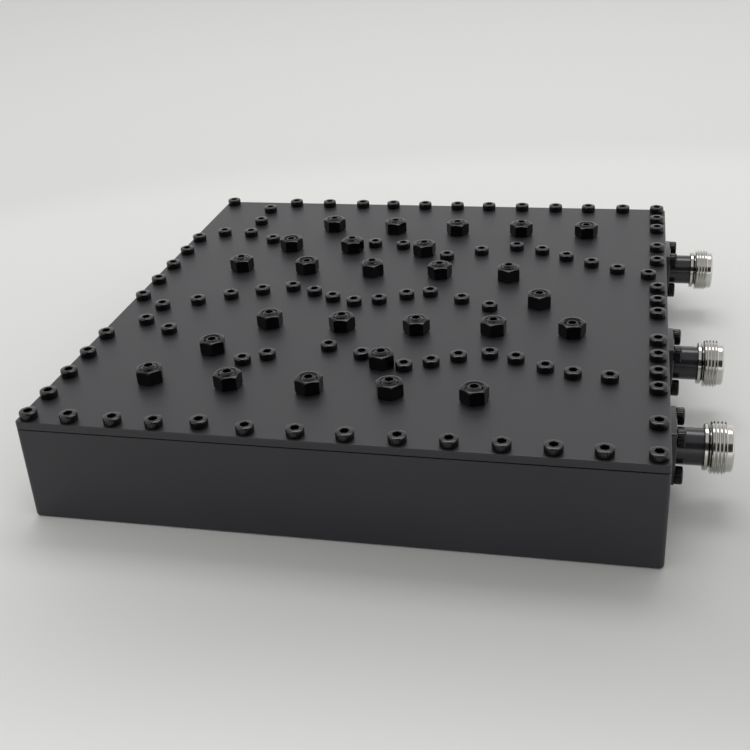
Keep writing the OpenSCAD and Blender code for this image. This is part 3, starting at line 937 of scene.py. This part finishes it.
@dataclass
class PanelJack:
    """A turned and milled panel jack: square flange, barrel, shoulder, fine outer thread, nose and mouth."""

    node: str
    y: float
    z: float = 17.75
    wall_x: float = 95.0
    flange_w: float = 17.5
    flange_t: float = 2.4
    flange_corner: float = 0.8
    flange_edge: float = 0.2
    pitch: float = 12.7
    hole_d: float = 3.4
    hole_steps: int = 32
    barrel_d: float = 11.2
    barrel_end: float = 10.3
    # How far past the barrel's end the enamel reaches.
    overspray: float = 0.02
    shoulder_d: float = 13.9
    shoulder_l: float = 1.2
    groove_d: float = 11.6
    groove_l: float = 0.65
    thread_d: float = 15.88
    thread_l: float = 4.55
    thread_pitch: float = 25.4 / 24
    thread_depth: float = 0.57
    thread_lead: float = 0.375
    nose_d: float = 14.0
    nose_l: float = 2.0
    nose_round: float = 0.8
    chamfer: float = 0.4
    mouth_d: float = 8.1
    mouth_depth: float = 9.0
    bore_d: float = 9.06
    bore_end: float = 8.0
    neck_d: float = 7.06
    steps: int = 96

    def place(self) -> Matrix:
        """Stands the jack's own Z along the row's X, at its hole in the wall."""
        spot = Matrix.Translation(Vector((self.wall_x, self.y, self.z)) * MM)
        return spot @ Matrix.Rotation(math.pi / 2, 4, "Y")

    def enamel(self) -> SprayedPaint:
        """Chooses the enamel on the flange and the barrel, which leaves the thread bare and bright.

        Returns:
            The finish, with painted shade in the runout groove.
        """
        barrel_end_x = self.wall_x + self.barrel_end
        return SprayedPaint(
            "satin_enamel_over_nickel_plate",
            reaches=(Reach(Axis.X, barrel_end_x + self.overspray, False),),
            metal="#cdcbc6",
            metal_roughness=0.15,
            roughness=0.2,
            ior=1.56,
            # Painted shade darkens the runout groove between the shoulder and the thread.
            seam=Reach(Axis.X, barrel_end_x + self.shoulder_l + self.groove_l / 2),
            seam_shade_half_mm=0.34,
        )

    def outline(self, inset: float) -> Loop:
        """The flange's rounded square.

        Args:
            inset: how far it is drawn in.

        Returns:
            Its corners, anticlockwise.
        """
        radius = self.flange_corner - inset
        middle = self.flange_w / 2 - self.flange_corner
        points: Loop = []
        for quarter, (sx, sy) in enumerate(((1, 1), (-1, 1), (-1, -1), (1, -1))):
            points += arc((sx * middle, sy * middle), radius, corner_turns(quarter))
        return points

    def flange(self, shape: Shape) -> None:
        """Adds the flange with its four holes, open in the middle for the barrel and the bore.

        Args:
            shape: the shape that gets it.
        """
        half = self.pitch / 2
        holes = [
            circle((a * half, b * half), self.hole_d / 2, self.hole_steps) for a in (-1, 1) for b in (-1, 1)
        ]
        full = self.outline(0.0)
        drawn = self.outline(self.flange_edge)
        middle = (0.0, 0.0)
        shape.sheet(drawn, [*holes, circle(middle, self.barrel_d / 2, self.steps)], self.flange_t, True)
        shape.sheet(full, [*holes, circle(middle, self.bore_d / 2, self.steps)], 0.0, False)
        levels = ((full, 0.0), (full, self.flange_t - self.flange_edge), (drawn, self.flange_t))
        shape.stack([shape.loop(corners, z) for corners, z in levels])
        for hole in holes:
            shape.bridge(shape.loop(hole, self.flange_t), shape.loop(hole, 0.0))

    def nose_edge(self, length: float) -> list[tuple[float, float]]:
        """The rounded front edge of the nose, inwards, as (radius, height) corners."""
        edge, outer = self.nose_round, self.nose_d / 2
        return [(outer - edge * (1 - math.cos(a)), length - edge * (1 - math.sin(a))) for a in corner_turns()]

    def build(self, finish: Material) -> None:
        """Builds the jack in place of its CAD node.

        Args:
            finish: its material.
        """
        shape = Shape()
        self.flange(shape)
        shoulder_end = self.barrel_end + self.shoulder_l
        groove_end = shoulder_end + self.groove_l
        thread_end = groove_end + self.thread_l
        length = thread_end + self.nose_l
        floor = length - self.mouth_depth
        small = self.chamfer / 2
        barrel, shoulder, groove = self.barrel_d / 2, self.shoulder_d / 2, self.groove_d / 2
        nose, mouth, neck, bore = self.nose_d / 2, self.mouth_d / 2, self.neck_d / 2, self.bore_d / 2
        shape.revolve(
            [
                (barrel, self.flange_t), (barrel, self.barrel_end),
                (shoulder - small, self.barrel_end), (shoulder, self.barrel_end + small),
                (shoulder, shoulder_end - small), (shoulder - small, shoulder_end),
                (groove, shoulder_end), (groove, groove_end),
            ],
            self.steps,
        )
        thread = Thread(
            self.thread_d, self.thread_pitch, self.thread_depth, groove_end, thread_end, self.chamfer,
            lead=self.thread_lead,
        )
        thread.surface(shape)
        for plain, z in ((groove, groove_end), (nose, thread_end)):
            shape.bridge(shape.ring(plain, z, self.steps), shape.loop(thread.rim(z), z))
        shape.revolve(
            [
                (nose, thread_end), *self.nose_edge(length),
                (mouth + self.chamfer, length), (mouth, length - self.chamfer), (mouth, floor),
                (neck, floor), (neck, self.bore_end), (bore, self.bore_end), (bore, 0.0),
            ],
            self.steps,
        )
        piece = shape.close(self.node.replace("_body", "_shell"), self.place(), finish)
        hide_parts(self.node)
        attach(piece, "root")
        LOG.info("%s: built anew", self.node)


@dataclass
class Jacks:
    """The three panel jacks with their insulators, contacts and flange screws."""

    places: dict[str, float] = field(default_factory=lambda: {"rear": 74.5, "common": -7.5, "front": -61.5})

    def build(self) -> None:
        """Builds and dresses the jacks."""
        jacks = {name: PanelJack(f"{name}_jack_body", y) for name, y in self.places.items()}
        shell = jacks["common"].enamel().material()
        ptfe = TurnedPtfe("turned_ptfe").material()
        gold = PlatedMetal("gold_plated_brass", "#d9b667", "#c9a352", 0.16, Pattern(0.2)).material()
        heads = BlackOxide("black_oxide_flange_screws").material()
        for name, jack in jacks.items():
            jack.build(shell)
            dress_node(f"{name}_jack_insulator", ptfe)
            dress_node(f"{name}_jack_contact", gold)
        plant("flange_screws", CapScrew().solid(), Axis.X, heads)


@dataclass
class Casing:
    """The milled body and its cover, painted outside and silver plated within."""

    half_w: float = 95.0
    half_d: float = 99.0
    top: float = 34.0
    seam: float = 31.4
    # How deep below the outer faces a surface still counts as painted.
    skin: float = 0.6

    def build(self) -> None:
        """Dresses the body and the cover."""
        reaches = (
            Reach(Axis.X, self.half_w - self.skin), Reach(Axis.X, self.skin - self.half_w, False),
            Reach(Axis.Y, self.half_d - self.skin), Reach(Axis.Y, self.skin - self.half_d, False),
            Reach(Axis.Z, self.top - self.skin), Reach(Axis.Z, self.skin, False),
        )
        # Painted shade darkens the seam between the body and the cover.
        paint = SprayedPaint(
            "satin_enamel_over_silver_plated_aluminium", reaches, "#dcdbd5", Reach(Axis.Z, self.seam)
        ).material()
        for node in ("housing", "cover_plate"):
            dress_node(node, paint)


@dataclass
class Tuning:
    """What stands on the cover: the cap screws, and the tuning and coupling screws in their lock nuts."""

    def build(self) -> None:
        """Dresses the screws and the nuts."""
        steel = BlackOxide("black_oxide_steel").material()
        flats = BlackOxide("black_oxide_nuts", ior=1.4, roughness=0.18).material()
        plant("lock_nuts", LockNut().solid(), Axis.Z, flats, keyed=True)
        plant("cover_screws", CapScrew().solid(), Axis.Z, steel)
        tuner = SetScrew().solid()
        for node in ("tuning_screws", "coupling_screws"):
            plant(node, tuner, Axis.Z, steel)


@dataclass
class Cavities:
    """What the pockets hold: the resonators with their screws, and the leads from the jacks."""

    chain: int = 6

    def build(self) -> None:
        """Dresses the resonators, their screws and the leads."""
        silver = PlatedMetal(
            "silver_plated_turned_aluminium", "#e4e2db", "#d3d0c6", 0.26, Pattern(0.25)
        ).material()
        zinc = PlatedMetal("zinc_plated_steel", "#b9bdc1", "#a7aaab", 0.32, Pattern(0.4)).material()
        copper = PlatedMetal(
            "rolled_copper_strip", "#d19a74", "#b97d58", 0.3, Pattern(0.3, pace=(0.1, 1.0, 1.0))
        ).material()
        for side in ("front", "rear"):
            for i in range(self.chain):
                dress_node(f"{side}_resonator_{i + 1}", silver)
        dress_node("resonator_screws", zinc)
        for name in ("rear", "common", "front"):
            dress_node(f"{name}_lead", copper)


def dress_node(node: str, finish: Material) -> None:
    """Gives a CAD node a finish in all its material slots.

    Args:
        node: the node's name.
        finish: the material.
    """
    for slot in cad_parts[node].material_slots:
        slot.material = finish
    LOG.info("%s: dressed in %s", node, finish.name)


def stations(node: str, axis: Axis) -> list[tuple[Vector, Vector]]:
    """Finds the separate solids of a CAD node.

    Args:
        node: the node's name.
        axis: the axis that its solids stand along.

    Returns:
        For each solid, in metres, the point on its own axis that is level with its high end, and the place
        of the corner that is farthest from that axis.
    """
    bm = bmesh.new()
    bm.from_mesh(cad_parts[node].data)
    bmesh.ops.remove_doubles(bm, verts=bm.verts, dist=CAD_WELD * MM)
    along = Vector(axis.value)
    left = set(bm.verts)
    found: list[tuple[Vector, Vector]] = []
    while left:
        group = [left.pop()]
        for vert in group:
            near = {edge.other_vert(vert) for edge in vert.link_edges} & left
            left -= near
            group += near
        points = [vert.co.copy() for vert in group]
        low = Vector([min(p[i] for p in points) for i in range(3)])
        high = Vector([max(p[i] for p in points) for i in range(3)])
        middle = (low + high) / 2
        top = middle + along * (high - middle).dot(along)
        far = max(points, key=lambda p: (round((p - top).cross(along).length, DECIMALS), *p))
        found.append((top, far))
    bm.free()
    return sorted(found, key=lambda pair: tuple(pair[0]))


def plant(node: str, solid: Mesh, axis: Axis, finish: Material, keyed: bool = False) -> None:
    """Puts a finer screw or nut in the place of each solid of a CAD node.

    Args:
        node: the node's name.
        solid: the screw or nut, with its top at zero.
        axis: the axis that the solids stand along.
        finish: their material.
        keyed: whether each keeps the turn of its CAD solid, a hexagon, or is turned as chance left it.
    """
    shape = Shape()
    upright = Vector(axis.value).to_track_quat("Z", "Y").to_matrix().to_4x4()
    places = stations(node, axis)
    for i, (top, far) in enumerate(places):
        corner = upright.inverted() @ (far - top)
        turn = math.atan2(corner.y, corner.x) + SIXTH_TURN / 2 if keyed else i * ODD_TURN
        shape.copy_in(solid, Matrix.Translation(top / MM) @ upright @ Matrix.Rotation(turn, 4, "Z"))
    piece = shape.close(f"{node}_cut", Matrix.Identity(4), finish)
    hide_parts(node)
    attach(piece, "root")
    LOG.info("%s: %d solids built anew", node, len(places))


@dataclass
class Studio:
    """A pale table under soft light, with the camera where the photograph was taken from."""

    camera_mm: tuple[float, float, float] = (80.38, -353.03, 194.01)
    yaw: float = -0.24562
    pitch: float = 0.48388
    roll: float = -0.06359
    focal_px: float = 1109.75
    frame_px: float = 750.0
    sensor_mm: float = 36.0
    clip_m: float = 0.01
    table_m: float = 6.0
    # The room is bright near the horizon and greyer overhead.
    horizon: str = "#ffffff"
    zenith: str = "#bcbcbc"
    world_strength: float = 1.05
    # The soft box behind the object: its distance and elevation, where it aims, its sides and its power.
    lamp_m: float = 1.06
    lamp_elevation_deg: float = 66.0
    lamp_aim_m: tuple[float, float, float] = (0.0, 0.0, 0.02)
    lamp_sides_m: tuple[float, float] = (0.7, 0.35)
    lamp_watts: float = 2.6
    # A black card for the dark end of the room: how far behind and above the camera, and half its sides.
    flag_behind_mm: float = 86.0
    flag_lift_mm: float = 20.0
    flag_half_mm: tuple[float, float] = (260.0, 150.0)
    flag_cloth: str = "#0a0a0a"

    def build(self) -> None:
        """Sets up the camera, the lights, the world and the table."""
        self.camera()
        self.world()
        self.lights()
        self.table()
        self.flag()
        bpy.context.scene.view_settings.view_transform = "Standard"

    def aim(self) -> tuple[Vector, Vector, Vector]:
        """Works out which way the camera is turned.

        Returns:
            Its right, up and forward directions.
        """
        ahead = Vector((
            math.sin(self.yaw) * math.cos(self.pitch),
            math.cos(self.yaw) * math.cos(self.pitch),
            -math.sin(self.pitch),
        ))
        level = Vector((math.cos(self.yaw), -math.sin(self.yaw), 0.0))
        upright = level.cross(ahead)
        right = math.cos(self.roll) * level + math.sin(self.roll) * upright
        up = -math.sin(self.roll) * level + math.cos(self.roll) * upright
        return right, up, ahead

    def camera(self) -> None:
        """Places the camera by the pose that was solved from the corners of the box."""
        lens = bpy.data.cameras.new("photo_camera")
        lens.sensor_width = self.sensor_mm
        lens.lens = self.focal_px / self.frame_px * self.sensor_mm
        lens.clip_start = self.clip_m
        made = bpy.data.objects.new("photo_camera", lens)
        right, up, ahead = self.aim()
        turn = Matrix((right, up, -ahead)).transposed().to_4x4()
        made.matrix_world = Matrix.Translation(Vector(self.camera_mm) * MM) @ turn
        bpy.context.scene.collection.objects.link(made)
        bpy.context.scene.camera = made

    def world(self) -> None:
        """Lights the room evenly round the horizon, and less from overhead."""
        world = bpy.data.worlds.new("studio")
        world.use_nodes = True
        tree = world.node_tree
        tree.nodes.clear()
        place = add_node(tree, "ShaderNodeTexCoord").outputs["Generated"]
        height = add_node(tree, "ShaderNodeSeparateXYZ", links={0: place}).outputs["Z"]
        share = add_node(tree, "ShaderNodeClamp", links={0: height}).outputs[0]
        ends = {"data_type": "RGBA", COLOUR_A: linear(self.horizon), COLOUR_B: linear(self.zenith)}
        tone = add_node(tree, MIX, ends, {0: share}).outputs[COLOUR_OUT]
        light = add_node(
            tree, "ShaderNodeBackground", {"Strength": self.world_strength}, {"Color": tone}
        ).outputs["Background"]
        out = add_node(tree, "ShaderNodeOutputWorld")
        tree.links.new(light, out.inputs["Surface"])
        bpy.context.scene.world = world

    def lights(self) -> None:
        """Hangs one wide soft box above and behind the object."""
        lift = math.radians(self.lamp_elevation_deg)
        place = Vector((0.0, math.cos(lift), math.sin(lift))) * self.lamp_m
        lamp = bpy.data.lights.new("overhead_softbox", "AREA")
        lamp.shape = "RECTANGLE"
        lamp.size, lamp.size_y = self.lamp_sides_m
        lamp.energy = self.lamp_watts
        made = bpy.data.objects.new("overhead_softbox", lamp)
        made.location = place
        made.rotation_euler = (Vector(self.lamp_aim_m) - place).to_track_quat("-Z", "Y").to_euler()
        bpy.context.scene.collection.objects.link(made)

    def table(self) -> None:
        """Lays the pale table under the object."""
        half = self.table_m / 2 / MM
        shape = Shape()
        shape.rectangle(Vector(), Vector((half, 0, 0)), Vector((0, half, 0)))
        laminate = PaleLaminate("matt_white_laminate").material()
        shape.close("table", Matrix.Identity(4), laminate)

    def flag(self) -> None:
        """Hangs a black card behind the camera, for the dark end of the room in the bright metal."""
        right, up, ahead = self.aim()
        middle = Vector(self.camera_mm) - self.flag_behind_mm * ahead + self.flag_lift_mm * up
        half_w, half_h = self.flag_half_mm
        shape = Shape()
        shape.rectangle(middle, half_w * right, half_h * up)
        cloth = bpy.data.materials.new("black_cloth")
        cloth.use_nodes = True
        shader = cloth.node_tree.nodes["Principled BSDF"]
        shader.inputs["Base Color"].default_value = linear(self.flag_cloth)
        card = shape.close("flag", Matrix.Identity(4), cloth)
        card.visible_camera = False
        card.visible_diffuse = False


def main() -> None:
    """Builds and dresses every sub-assembly, then sets up the studio."""
    for part in (Casing(), Tuning(), Jacks(), Cavities()):
        part.build()
    Studio().build()
    LOG.info("sizes noted")


if __name__ == "__main__":
    logging.basicConfig(level=logging.INFO, format="%(name)s: %(message)s")
    main()
